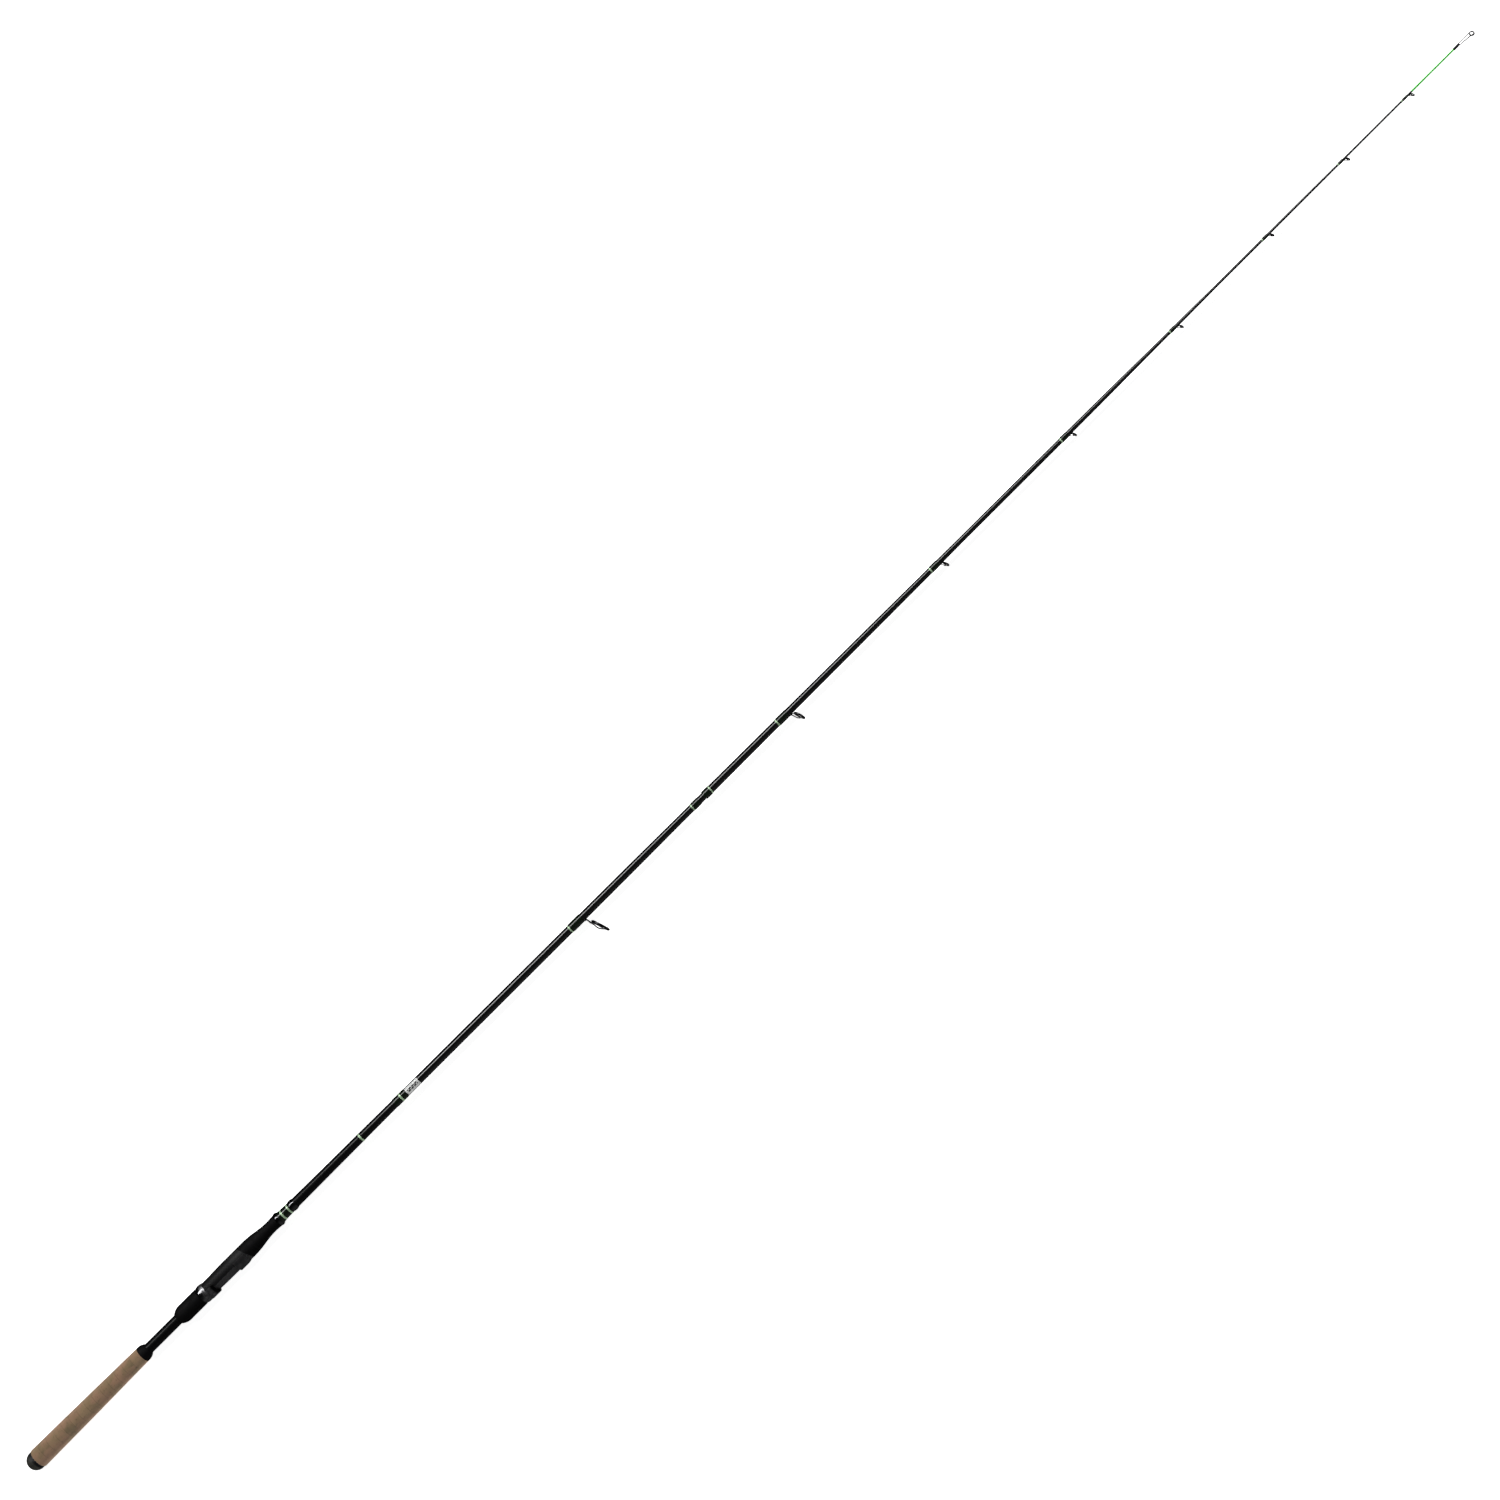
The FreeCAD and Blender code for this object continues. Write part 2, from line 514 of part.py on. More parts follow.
def guide_foot(stations, blank, x0, x1, width, thickness):
    """Curved foot plate on the blank's guide side, feathered towards the butt."""
    ramp_x = x0 + FOOT_RAMP
    first = radius_at(stations, x0)
    last = radius_at(stations, x1)
    ramp_top = radius_at(stations, ramp_x) + thickness
    outline = [(x0, INSIDE_BLANK), (x0, first + thickness * 0.3), (ramp_x, ramp_top)]
    outline += [(x1, last + thickness), (x1, INSIDE_BLANK)]
    window = box_between(point(x0, -2 * first, -width / 2), point(x1, 0, width / 2))
    return turned(outline).common(window).cut(blank)


def guide_frame(stations, blank, guide):
    """Metal frame: foot, two legs that rise to the ring's sides, and the ring."""
    _, ring_x, distance, diameter, wrap_start, wrap_end = guide
    leg = 0.28 + 0.022 * diameter
    radius = radius_at(stations, wrap_end)
    thickness = foot_thickness(diameter)
    foot_width = min(1.2 * radius, 1.4 + 0.12 * diameter)
    foot_end = wrap_end + 1.2 + 0.05 * diameter
    foot = guide_foot(stations, blank, wrap_start + 1.0, foot_end, foot_width, thickness)
    pieces = [foot]
    middle = diameter / 2 - ring_sizes(diameter)[0] / 2
    for side in (-1, 1):
        root = point(foot_end - leg, -radius - thickness * 0.5, side * (foot_width / 2 - leg * 0.8))
        knee = point(foot_end + 0.3, -radius - thickness - leg * 0.9, side * (foot_width / 2 - leg * 0.2))
        joint = ring_point(ring_x, distance, side * LEG_JOINT_ANGLE, middle)
        shoulder = ring_point(ring_x, distance, side * LEG_SHOULDER_ANGLE, diameter / 2 + leg * 0.3)
        shoulder.x -= diameter * 0.14
        pieces += [rod_between(a, b, leg) for a, b in ((root, knee), (knee, shoulder), (shoulder, joint))]
    ring = on_ring(metal_ring(diameter), ring_x, distance)
    frame = ring.fuse(pieces).cut(blank)
    return frame.cut(on_ring(ceramic_hole(diameter), ring_x, distance))


def ceramic_hole(diameter):
    """Plug the size of the insert, which clears its seat from the legs' ends."""
    metal, _, _, length = ring_sizes(diameter)
    return cylinder(-length / 2, length / 2, diameter / 2 - metal)


def foot_thickness(diameter):
    return 0.3 + 0.006 * diameter


def guide_parts(guide):
    name, ring_x, distance, diameter, wrap_start, wrap_end = guide
    on_butt = ring_x < FERRULE_X
    stations = BUTT_STATIONS if on_butt else TIP_STATIONS
    blank = BUTT_CORE if on_butt else TIP_CORE
    frame = guide_frame(stations, blank, guide)
    ring = on_ring(ceramic_ring(diameter), ring_x, distance)
    wrap = wrap_on(stations, blank, wrap_start, wrap_end, foot_thickness(diameter) + 0.1).cut(frame)
    return {name + "_frame": frame, name + "_ring": ring, name + "_wrap": wrap}


# ---- tip-top ----

def tip_top_centre():
    reach = TIP_TOP_RING_DIAMETER / 2 * math.sin(math.radians(TIP_TOP_LEAN))
    width = ring_sizes(TIP_TOP_RING_DIAMETER)[3] / 2
    return TOTAL_LENGTH - reach - width


def tip_top_frame():
    """Tube glued over the solid tip, with two near legs, one far leg and the ring."""
    x = tip_top_centre()
    tip_x, tip_radius = SOLID_TIP_STATIONS[-1]
    outline = [(TIP_TOP_TUBE_X, INSIDE_BLANK), (TIP_TOP_TUBE_X, TIP_TOP_TUBE_RADIUS)]
    outline += [(TIP_TOP_TUBE_END - CUT_MARGIN, TIP_TOP_TUBE_RADIUS)]
    outline += [(TIP_TOP_NOSE, (TIP_TOP_TUBE_END, TIP_TOP_NOSE_RADIUS)), (TIP_TOP_TUBE_END, 0.0)]
    outline += [(tip_x, 0.0), (tip_x, INSIDE_BLANK)]
    place = (x, TIP_TOP_DROP)
    pieces = [turned(outline), on_ring(metal_ring(TIP_TOP_RING_DIAMETER), *place, TIP_TOP_LEAN)]
    metal, _, length, _ = ring_sizes(TIP_TOP_RING_DIAMETER)
    root_x = TIP_TOP_TUBE_END - TIP_TOP_LEG_ROOT
    middle = TIP_TOP_RING_DIAMETER / 2 - metal / 2
    near_joint = 140.0
    for side in (-1, 1):
        root = point(root_x, 0.35, side * (tip_radius + 0.25))
        joint = ring_point(*place, side * near_joint, middle, lean=TIP_TOP_LEAN)
        pieces.append(rod_between(root, joint, TIP_TOP_LEG))
    far_joint = ring_point(*place, 0.0, TIP_TOP_RING_DIAMETER / 2 - 0.15, length / 4, TIP_TOP_LEAN)
    pieces.append(rod_between(point(root_x, -tip_radius - 0.3), far_joint, TIP_TOP_LEG))
    frame = pieces[0].fuse(pieces[1:]).cut(solid_tip())
    frame = frame.cut(on_ring(ceramic_hole(TIP_TOP_RING_DIAMETER), *place, TIP_TOP_LEAN))
    frame.rotate(ORIGIN, X_AXIS, TIP_TOP_TURN)
    return frame


def tip_top_ring():
    ring = on_ring(ceramic_ring(TIP_TOP_RING_DIAMETER), tip_top_centre(), TIP_TOP_DROP, TIP_TOP_LEAN)
    ring.rotate(ORIGIN, X_AXIS, TIP_TOP_TURN)
    return ring


# ---- the whole rod ----

def build():
    tip_wrap = wrap_on(TIP_STATIONS, TIP_CORE, FERRULE_X, TIP_FERRULE_WRAP_END_X, FERRULE_WRAP_HEIGHT)
    parts = {
        "butt_blank": butt_blank(),
        "tip_blank": tip_blank(),
        "solid_tip": solid_tip(),
        "butt_cap": butt_cap(),
        "rear_grip": rear_grip(),
        "grip_collar": grip_collar(),
        "reel_seat_body": reel_seat_body(),
        "foregrip": foregrip(),
        "fixed_hood": fixed_hood(),
        "moving_hood": moving_hood(),
        "lock_nut": lock_nut(),
        "rear_winding_check": winding_check(FOREGRIP_END_X, REAR_CHECK_END_X, REAR_CHECK_RADIUS),
        "front_winding_check": winding_check(FRONT_CHECK_X, FRONT_CHECK_END_X, FRONT_CHECK_RADIUS),
        "handle_wrap": handle_wrap(),
        "butt_trim_bands": butt_trim_bands(),
        "label_wrap": label_wrap(),
        "label": label(),
        "butt_ferrule_wrap": wrap_on(BUTT_STATIONS, BUTT_CORE, *BUTT_FERRULE_WRAP, FERRULE_WRAP_HEIGHT),
        "tip_ferrule_wrap": tip_wrap,
        "tip_trim_bands": tip_trim_bands(),
        "tip_top_frame": tip_top_frame(),
        "tip_top_ring": tip_top_ring(),
    }
    for guide in GUIDES:
        parts.update(guide_parts(guide))
    return parts


os.makedirs("parts", exist_ok=True)
for node, shape in build().items():
    shape.exportStep("parts/%s.step" % node)
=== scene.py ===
import json
import math

import bmesh
import bpy
from mathutils import Matrix, Vector, noise


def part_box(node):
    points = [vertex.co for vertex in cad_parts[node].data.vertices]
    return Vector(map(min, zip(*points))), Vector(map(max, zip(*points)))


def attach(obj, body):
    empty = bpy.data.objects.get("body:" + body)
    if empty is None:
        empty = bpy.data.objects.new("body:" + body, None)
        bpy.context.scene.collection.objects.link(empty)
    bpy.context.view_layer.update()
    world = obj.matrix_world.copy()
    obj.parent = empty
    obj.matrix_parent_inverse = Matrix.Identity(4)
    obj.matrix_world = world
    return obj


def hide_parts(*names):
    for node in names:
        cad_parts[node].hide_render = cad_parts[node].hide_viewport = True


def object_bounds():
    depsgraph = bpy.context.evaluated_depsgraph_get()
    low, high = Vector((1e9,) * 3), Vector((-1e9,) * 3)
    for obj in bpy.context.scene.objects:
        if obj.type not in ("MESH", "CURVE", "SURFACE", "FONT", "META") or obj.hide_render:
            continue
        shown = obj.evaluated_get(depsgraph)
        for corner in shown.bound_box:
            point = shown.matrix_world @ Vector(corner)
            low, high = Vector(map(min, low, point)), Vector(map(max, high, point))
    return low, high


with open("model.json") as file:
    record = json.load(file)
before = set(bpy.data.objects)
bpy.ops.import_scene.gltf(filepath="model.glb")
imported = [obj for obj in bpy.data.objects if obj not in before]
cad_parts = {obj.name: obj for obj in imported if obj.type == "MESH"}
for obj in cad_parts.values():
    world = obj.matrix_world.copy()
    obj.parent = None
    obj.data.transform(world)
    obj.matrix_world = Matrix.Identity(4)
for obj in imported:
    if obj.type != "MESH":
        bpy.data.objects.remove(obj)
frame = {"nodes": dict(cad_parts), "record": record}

# The looks of a two-piece spinning rod that lies along +X with its guides facing -Y.
# Blender works in metres; sizes here are given in millimetres and multiplied by MM.

MM = 0.001
CAD_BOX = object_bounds()
NODES = frame["nodes"]
BODIES = frame["record"]["behaviour"]["bodies"]
BODY_OF = {node: body for body, nodes in BODIES.items() for node in nodes}

ON_AXIS = 1e-7                  # a radius below this, in metres, closes a turned surface to a point
SAME_PLACE = 0.01 * MM          # faces nearer than this along the rod belong to one sleeve
SAME_RADIUS = 0.05 * MM         # radii nearer than this at one x are one point of an outline
ROUND_STEPS = 5                 # points that replace each rounded corner of an outline
RING_SEGMENTS = 72
BAR_SIDES = 14
CURVE_STEPS = 8                 # points along each stretch of a smooth path
SHARP_EDGE = math.radians(32)   # an edge that turns by more than this stays sharp
SOFT_EDGE = 0.22 * MM           # bevel on the CAD nodes that keep their own shape
SOFT_EDGE_ANGLE = math.radians(38)
GUIDE_NODES = ["guide_%d" % number for number in range(1, 9)]
GUIDE_LEAN = math.radians(20)   # how far each ring leans towards the tip
LEG_JOINT = math.radians(72)    # where a leg meets its ring, from the ring's outer end
LEG_SHOULDER = math.radians(112)
LABEL_MIDDLE = math.radians(121)
TIP_TOP_DIAMETER = 7.0 * MM
TIP_TOP_LEAN = math.radians(40)
TIP_TOP_TURN = math.radians(-28)    # the tip-top is turned a little out of line with the guides
TIP_TOP_LEG_JOINT = math.radians(140)
CORK_RINGS = 14
CORK_BORE = 8 * MM              # points of the grip nearer the axis than this are its bore
CORK_PIT_DEPTH = 0.16 * MM
GLUE_LINE_DEPTH = 0.05 * MM
GLUE_LINE_REACH = 0.6 * MM

CAMERA_TARGET_X = 1197.8 * MM
CAMERA_DISTANCE = 2.9545
CAMERA_ELEVATION = math.radians(63)
ROD_TILT = math.radians(44.87)      # how the rod climbs across the picture
CAMERA_LENS = 60.1
REFLECTOR_DIRECTION = (0, -0.94, -0.34)
REFLECTOR_LEVEL = 0.15
ROOM_LEVEL = 0.006
ROD_MIDDLE = (CAD_BOX[0].x + CAD_BOX[1].x) / 2
FLOOR_REACH = 14.0


# ---- outlines read from the frame ----

def sleeves(node):
    """Start and end x of each separate sleeve in a turned node, butt to tip."""
    mesh = NODES[node].data
    places = [mesh.vertices[index].co.x for face in mesh.polygons for index in face.vertices]
    spans = []
    sides = len(places) // len(mesh.polygons)
    faces = [places[start:start + sides] for start in range(0, len(places), sides)]
    for low, high in sorted((min(face), max(face)) for face in faces):
        if spans and low <= spans[-1][1] + SAME_PLACE:
            spans[-1][1] = max(spans[-1][1], high)
        else:
            spans.append([low, high])
    return spans


def outline_of(node, facing, low, high):
    """(x, r) points of a turned node's outside (facing 1) or bore (facing -1) between low and high."""
    mesh = NODES[node].data
    found = {}
    for face in mesh.polygons:
        radial = Vector((0, face.center.y, face.center.z))
        if facing * face.normal.dot(radial) < 0.1 * radial.length:
            continue
        for index in face.vertices:
            place = mesh.vertices[index].co
            if low - SAME_PLACE / 2 <= place.x <= high + SAME_PLACE / 2:
                found.setdefault(round(place.x, 6), set()).add(round(math.hypot(place.y, place.z), 6))
    points = []
    for x in sorted(found):
        radii = sorted(found[x])
        if radii[-1] - radii[0] < SAME_RADIUS:
            radii = [radii[-1]]
        else:
            radii = [radii[0], radii[-1]]
            if points and abs(points[-1][1] - radii[1]) < abs(points[-1][1] - radii[0]):
                radii.reverse()
        points += [(x, r) for r in radii]
    return points


def radius_at(outline, x):
    """Radius of an outline at x."""
    for (x0, r0), (x1, r1) in zip(outline, outline[1:]):
        if x0 <= x <= x1 and x1 > x0:
            return r0 + (r1 - r0) * (x - x0) / (x1 - x0)
    return outline[-1][1]


def rounded(points, reach):
    """Replaces each inner corner of an outline by a small curve that starts and ends up to reach away."""
    smooth = [points[0]]
    for before, corner, after in zip(points, points[1:], points[2:]):
        here = Vector(corner)
        back = Vector(before) - here
        ahead = Vector(after) - here
        start = here + back.normalized() * min(reach, back.length * 0.45)
        end = here + ahead.normalized() * min(reach, ahead.length * 0.45)
        for step in range(ROUND_STEPS):
            t = step / (ROUND_STEPS - 1)
            smooth.append(tuple(start * (1 - t) ** 2 + here * 2 * t * (1 - t) + end * t * t))
    return smooth + [points[-1]]


def divided(points, longest):
    """Adds points to an outline so that no stretch is longer than longest."""
    fine = [points[0]]
    for (x0, r0), (x1, r1) in zip(points, points[1:]):
        count = max(1, math.ceil(math.hypot(x1 - x0, r1 - r0) / longest))
        for step in range(1, count + 1):
            fine.append((x0 + (x1 - x0) * step / count, r0 + (r1 - r0) * step / count))
    return fine


# ---- meshes ----

def add_turned(bm, outline, segments, place=None):
    """Adds a closed surface turned about the X axis. Ends on the axis close to a point, others to a bore."""
    made = []
    rings = []
    for x, r in outline:
        if r < ON_AXIS:
            rings.append([bm.verts.new((x, 0, 0))])
        else:
            turns = [2 * math.pi * step / segments for step in range(segments)]
            rings.append([bm.verts.new((x, r * math.cos(turn), r * math.sin(turn))) for turn in turns])
        made += rings[-1]
    pairs = list(zip(rings, rings[1:]))
    if len(rings[0]) > 1:
        pairs.append((rings[-1], rings[0]))
    for first, second in pairs:
        for step in range(segments):
            after = (step + 1) % segments
            corners = [first[step % len(first)], first[after % len(first)]]
            corners += [second[after % len(second)], second[step % len(second)]]
            unique = list(dict.fromkeys(corners))
            if len(unique) > 2:
                bm.faces.new(unique)
    if place is not None:
        bmesh.ops.transform(bm, matrix=place, verts=made)


def add_swept(bm, path, radii):
    """Adds a round bar along a path, with domed ends."""
    ahead = [(after - before).normalized() for before, after in zip(path, path[1:])]
    ahead.append(ahead[-1])
    normal = ahead[0].orthogonal().normalized()
    rings = []
    start = path[0] - ahead[0] * radii[0] * 0.6
    end = path[-1] + ahead[-1] * radii[-1] * 0.6
    centres = [start] + list(path) + [end]
    tangents = [ahead[0]] + ahead + [ahead[-1]]
    sizes = [radii[0] * 0.5] + list(radii) + [radii[-1] * 0.5]
    for centre, tangent, size in zip(centres, tangents, sizes):
        normal = (normal - tangent * normal.dot(tangent)).normalized()
        other = tangent.cross(normal)
        turns = [2 * math.pi * step / BAR_SIDES for step in range(BAR_SIDES)]
        ring = [centre + (normal * math.cos(turn) + other * math.sin(turn)) * size for turn in turns]
        rings.append([bm.verts.new(corner) for corner in ring])
    for first, second in zip(rings, rings[1:]):
        for step in range(BAR_SIDES):
            after = (step + 1) % BAR_SIDES
            bm.faces.new([first[step], first[after], second[after], second[step]])
    bm.faces.new(list(reversed(rings[0])))
    bm.faces.new(rings[-1])


def curve_through(points):
    """Smooth path through points (Catmull-Rom)."""
    padded = [points[0] * 2 - points[1]] + list(points) + [points[-1] * 2 - points[-2]]
    path = []
    for a, b, c, d in zip(padded, padded[1:], padded[2:], padded[3:]):
        for step in range(CURVE_STEPS):
            t = step / CURVE_STEPS
            path.append(0.5 * (2 * b + (c - a) * t + (2 * a - 5 * b + 4 * c - d) * t * t
                               + (3 * b - a - 3 * c + d) * t ** 3))
    return path + [points[-1]]


def add_shell(bm, bottom, top):
    """Adds a closed shell from two grids of points, one over the other."""
    for sheet in (bottom, top):
        for first, second in zip(sheet, sheet[1:]):
            for corners in zip(first, first[1:], second[1:], second):
                bm.faces.new(corners)
    rims = [([row[side] for row in bottom], [row[side] for row in top]) for side in (0, -1)]
    rims += [(bottom[end], top[end]) for end in (0, -1)]
    for first, second in rims:
        for corners in zip(first, first[1:], second[1:], second):
            bm.faces.new(corners)


def as_object(bm, name):
    """Finishes a bmesh as an object: outward faces, smooth shading and sharp edges where it turns sharply."""
    bmesh.ops.recalc_face_normals(bm, faces=bm.faces)
    for edge in bm.edges:
        edge.smooth = len(edge.link_faces) != 2 or edge.calc_face_angle() < SHARP_EDGE
    for face in bm.faces:
        face.smooth = True
    mesh = bpy.data.meshes.new(name)
    bm.to_mesh(mesh)
    bm.free()
    made = bpy.data.objects.new(name, mesh)
    bpy.context.scene.collection.objects.link(made)
    return made


def stand_for(piece, node, surface):
    """Gives a piece its material, and the place of a CAD node."""
    piece.data.materials.append(surface)
    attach(piece, BODY_OF[node])
    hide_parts(node)
    return piece


def turned_piece(node, surface, reach, segments=64, longest=None):
    """A smooth copy of a turned CAD node, with its corners rounded by reach and its bore kept."""
    bm = bmesh.new()
    for low, high in sleeves(node):
        skin = outline_of(node, 1, low, high)
        bore = outline_of(node, -1, low, high)
        skin = rounded(skin, reach)
        if longest:
            skin = divided(skin, longest)
        if not bore:
            loop = [(low, 0)] + skin + [(high, 0)]
        elif bore[0][0] > low + 0.5 * MM:
            loop = [(low, 0)] + skin + list(reversed(bore)) + [(bore[0][0], 0)]
        else:
            loop = skin + list(reversed(bore))
        add_turned(bm, loop, segments)
    return stand_for(as_object(bm, node + "_finish"), node, surface)


# ---- material building blocks ----

def new_node(tree, kind, **settings):
    """Adds a node to a tree and sets its properties."""
    node = tree.nodes.new(kind)
    for key, value in settings.items():
        setattr(node, key, value)
    return node


class Surface:
    """A Principled material and short ways to add its texture nodes."""

    def __init__(self, name, **values):
        self.material = bpy.data.materials.new(name)
        self.material.use_nodes = True
        self.tree = self.material.node_tree
        self.shader = self.tree.nodes["Principled BSDF"]
        for socket, value in values.items():
            self.shader.inputs[socket.replace("_", " ")].default_value = value
        self.place = self.add("ShaderNodeTexCoord").outputs["Object"]

    def add(self, kind, **settings):
        return new_node(self.tree, kind, **settings)

    def join(self, source, target):
        self.tree.links.new(source, target)

    def math(self, operation, first, second=0.0):
        node = self.add("ShaderNodeMath", operation=operation)
        for socket, value in zip(node.inputs, (first, second)):
            if isinstance(value, (int, float)):
                socket.default_value = value
            else:
                self.join(value, socket)
        return node.outputs[0]

    def scaled(self, x, y, z):
        """Object coordinates multiplied along each axis."""
        node = self.add("ShaderNodeVectorMath", operation="MULTIPLY")
        self.join(self.place, node.inputs[0])
        node.inputs[1].default_value = (x, y, z)
        return node.outputs[0]

    def axes(self):
        """x, y and z of the object coordinates."""
        split = self.add("ShaderNodeSeparateXYZ")
        self.join(self.place, split.inputs[0])
        return list(split.outputs)

    def around(self):
        """x, and the angle about the rod's axis in radians."""
        x, y, z = self.axes()
        return x, self.math("ARCTAN2", z, y)

    def noise(self, vector, scale, detail=3.0, roughness=0.55):
        node = self.add("ShaderNodeTexNoise")
        self.join(vector, node.inputs["Vector"])
        node.inputs["Scale"].default_value = scale
        node.inputs["Detail"].default_value = detail
        node.inputs["Roughness"].default_value = roughness
        return node.outputs["Fac"]

    def ramp(self, factor, stops):
        """Colour ramp; a stop is a position and a grey level or a colour."""
        node = self.add("ShaderNodeValToRGB")
        elements = node.color_ramp.elements
        for _ in stops[2:]:
            elements.new(0.5)
        for element, (position, colour) in zip(elements, stops):
            element.position = position
            grey = isinstance(colour, (int, float))
            element.color = (colour, colour, colour, 1) if grey else (*colour, 1)
        self.join(factor, node.inputs[0])
        return node.outputs["Color"]

    def mix(self, factor, first, second, blend="MIX"):
        node = self.add("ShaderNodeMix", data_type="RGBA", blend_type=blend)
        for name, value in (("Factor", factor), ("A", first), ("B", second)):
            socket = [s for s in node.inputs if s.name == name and s.enabled][0]
            if isinstance(value, (int, float)):
                socket.default_value = value
            elif isinstance(value, tuple):
                socket.default_value = (*value, 1)
            else:
                self.join(value, socket)
        return [s for s in node.outputs if s.enabled][0]

    def colour(self, source):
        self.join(source, self.shader.inputs["Base Color"])

    def roughness(self, source):
        self.join(source, self.shader.inputs["Roughness"])

    def bump(self, height, distance, strength=1.0):
        node = self.add("ShaderNodeBump")
        node.inputs["Distance"].default_value = distance
        node.inputs["Strength"].default_value = strength
        self.join(height, node.inputs["Height"])
        self.join(node.outputs["Normal"], self.shader.inputs["Normal"])


def stripes(surface, value, pitch):
    """0 to 1 and back once every pitch of a length."""
    wave = surface.math("SINE", surface.math("MULTIPLY", value, 2 * math.pi / pitch))
    return surface.math("MULTIPLY_ADD", wave, 0.5)


# ---- materials ----

def carbon_blank():
    """Carbon, satin by the handle and glossy beyond: lengthwise fibres under a faint spiral of shrink tape."""
    made = Surface("carbon_blank", Coat_Roughness=0.05, Coat_IOR=1.62, Specular_IOR_Level=0.08)
    x, turn = made.around()
    fibres = made.noise(made.scaled(60, 2400, 2400), 1.0, 2.0)
    spiral = made.math("ADD", x, made.math("MULTIPLY", turn, 3.2 * MM / (2 * math.pi)))
    tape = stripes(made, spiral, 3.2 * MM)
    weave = made.math("ADD", made.math("MULTIPLY", fibres, 0.7), made.math("MULTIPLY", tape, 0.3))
    made.colour(made.ramp(weave, [(0.25, (0.0005, 0.0005, 0.0006)), (0.8, (0.0028, 0.0029, 0.0032))]))
    made.roughness(made.ramp(fibres, [(0.3, 0.45), (0.7, 0.6)]))
    made.bump(tape, 0.006 * MM, 0.5)
    gloss = made.ramp(x, [(0.20, 0.10), (0.46, 0.10), (0.56, 0.30), (0.66, 1.0)])
    made.join(gloss, made.shader.inputs["Coat Weight"])
    return made.material


def green_tip():
    """Fluorescent green lacquer with a slight orange-peel and paler cloudy streaks, and a painted glow: it
    emits its own colour.
    """
    # The emission is a painted glow that stands in for the lacquer's fluorescence.
    made = Surface("green_tip", Coat_Weight=0.8, Coat_Roughness=0.1, Emission_Strength=0.25)
    streaks = made.noise(made.scaled(120, 900, 900), 1.0, 3.0)
    tone = made.ramp(streaks, [(0.25, (0.010, 0.32, 0.003)), (0.75, (0.022, 0.44, 0.006))])
    made.colour(tone)
    made.join(tone, made.shader.inputs["Emission Color"])
    made.roughness(made.ramp(streaks, [(0.3, 0.28), (0.7, 0.42)]))
    made.bump(made.noise(made.place, 2600, 2.0), 0.02 * MM, 0.4)
    return made.material


def cork(start, ring_length):
    """Natural cork: rings of slightly different tone, soft patches, dark pores and thin glue lines."""
    made = Surface("cork", Specular_IOR_Level=0.25, Sheen_Weight=0.15, Sheen_Roughness=0.6)
    x, turn = made.around()
    ring = made.math("DIVIDE", made.math("SUBTRACT", x, start), ring_length)
    number = made.math("FLOOR", ring)
    tone = made.add("ShaderNodeTexWhiteNoise", noise_dimensions="1D")
    made.join(number, tone.inputs["W"])
    patches = made.noise(made.scaled(110, 150, 150), 1.0, 3.0)
    grain = made.noise(made.scaled(900, 520, 520), 1.0, 4.0, 0.65)
    ring_tone = made.math("MULTIPLY", tone.outputs["Value"], 0.3)
    blend = made.math("ADD", ring_tone, made.math("MULTIPLY", patches, 0.7))
    shades = [(0.2, (0.155, 0.112, 0.058)), (0.5, (0.215, 0.142, 0.076)), (0.8, (0.262, 0.178, 0.098))]
    base = made.ramp(blend, shades)
    hue = made.noise(made.scaled(55, 90, 90), 1.0, 1.0)
    tinted = made.mix(made.ramp(hue, [(0.42, 0.0), (0.62, 1.0)]), base, (0.262, 0.155, 0.092))
    pores = made.ramp(grain, [(0.30, 0.0), (0.40, 1.0)])
    pored = made.mix(pores, (0.055, 0.033, 0.018), tinted)
    seam = made.math("ABSOLUTE", made.math("SUBTRACT", made.math("FRACT", ring), 0.5))
    line = made.ramp(seam, [(0.485, 1.0), (0.497, 0.0)])
    made.colour(made.mix(line, (0.085, 0.055, 0.033), pored))
    made.bump(made.mix(0.75, grain, pores), 0.12 * MM, 0.7)
    made.roughness(made.ramp(turn, [(0.0, 0.82), (1.0, 0.90)]))
    return made.material


def moulded(name, dark, light, low_rough, high_rough, grain, depth, **values):
    """Fine-grained moulded or soft-touch surface: dark, with worn patches and a leathery grain."""
    made = Surface(name, **values)
    wear = made.noise(made.place, 140, 4.0)
    fine = made.noise(made.place, grain, 3.0)
    made.colour(made.ramp(wear, [(0.3, dark), (0.75, light)]))
    made.roughness(made.ramp(wear, [(0.3, high_rough), (0.7, low_rough)]))
    made.bump(fine, depth, 0.6)
    return made.material


def cap_rubber():
    """Worn rubber butt cap, black in the band beside the cork, with painted sheen that makes its dome greyer.
    """
    made = Surface("black_rubber", Specular_IOR_Level=0.4)
    x, _, _ = made.axes()
    wear = made.noise(made.place, 140, 4.0)
    # The dome's grey is painted sheen: the black rubber's reflection is painted into its colour, varied by the
    # wear noise.
    grey = made.ramp(wear, [(0.3, (0.017, 0.017, 0.0135)), (0.75, (0.040, 0.040, 0.033))])
    # The band starts between 8.5 and 10 mm from the butt.
    band = made.ramp(made.math("MULTIPLY", x, 40.0), [(0.34, 0.0), (0.40, 1.0)])
    made.colour(made.mix(band, grey, (0.003, 0.003, 0.003)))
    made.roughness(made.ramp(wear, [(0.3, 0.6), (0.7, 0.45)]))
    made.bump(made.noise(made.place, 2400, 3.0), 0.04 * MM, 0.6)
    return made.material


